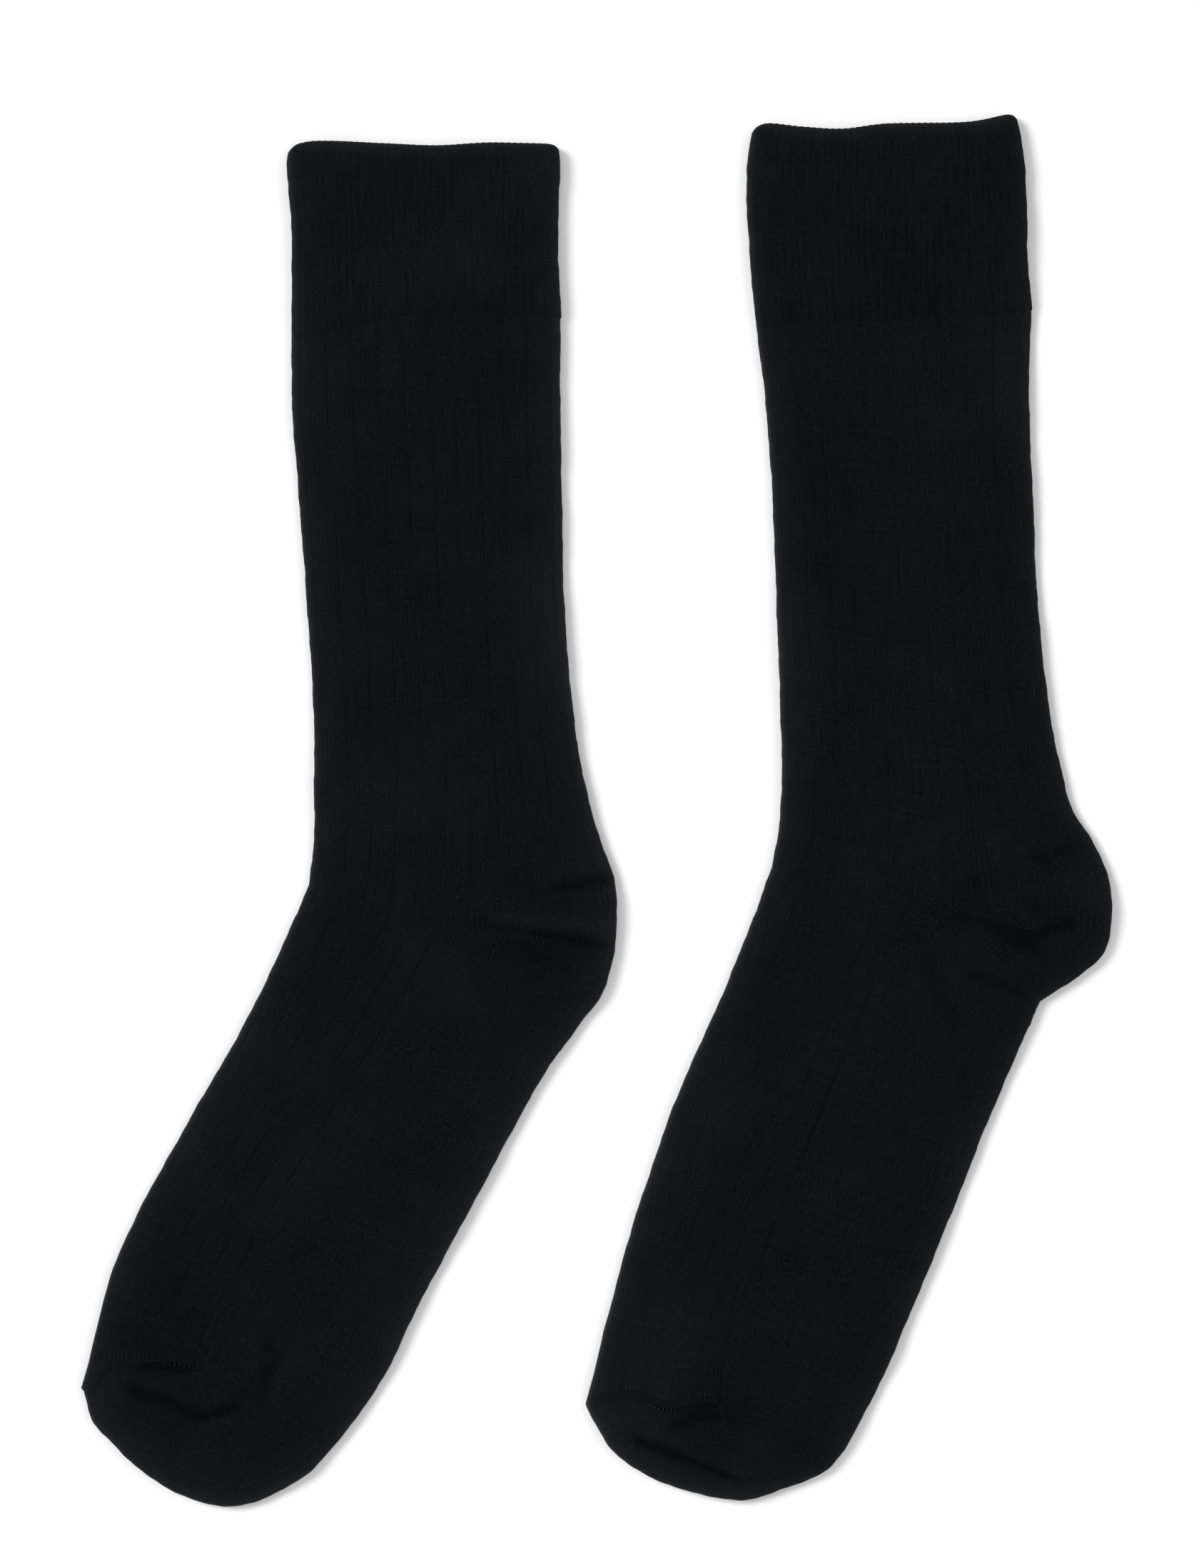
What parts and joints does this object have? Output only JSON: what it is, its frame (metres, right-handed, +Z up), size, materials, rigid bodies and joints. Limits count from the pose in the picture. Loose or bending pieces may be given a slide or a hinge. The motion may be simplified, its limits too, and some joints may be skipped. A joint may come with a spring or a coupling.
{
  "type": "pair of knitted socks, laid flat",
  "caption": "Pair of black crew socks in ribbed cotton knit with deep turned cuffs, laid flat on their sides with the toes pointing the same way.",
  "frame": {"origin": "on the surface that the pair lies on, under the middle of the pair's bounding box", "axes": "+Z up from the surface, +Y along the legs towards the cuffs, +X from the left sock to the right sock and from each shin to its calf"},
  "size_m": [0.3333, 0.4495, 0.0052],
  "materials": {
    "cuff_rib": "matt double 1 by 1 rib, cotton with elastane",
    "leg_rib": "matt fine knit with a sunken wale every sixth stitch",
    "plain_knit": "matt plain knit of the heel and toe pockets",
    "foot_knit": "matt fine knit, ribbed on the instep and plain on the sole",
    "link_thread": "linked loops of black yarn"
  },
  "bodies": {
    "root": {"cuff_left": "cuff_rib", "leg_left": "leg_rib", "heel_left": "plain_knit", "foot_left": "foot_knit", "toe_left": "plain_knit", "toe_seam_left": "link_thread", "cuff_right": "cuff_rib", "leg_right": "leg_rib", "heel_right": "plain_knit", "foot_right": "foot_knit", "toe_right": "plain_knit", "toe_seam_right": "link_thread"}
  },
  "joints": []
}
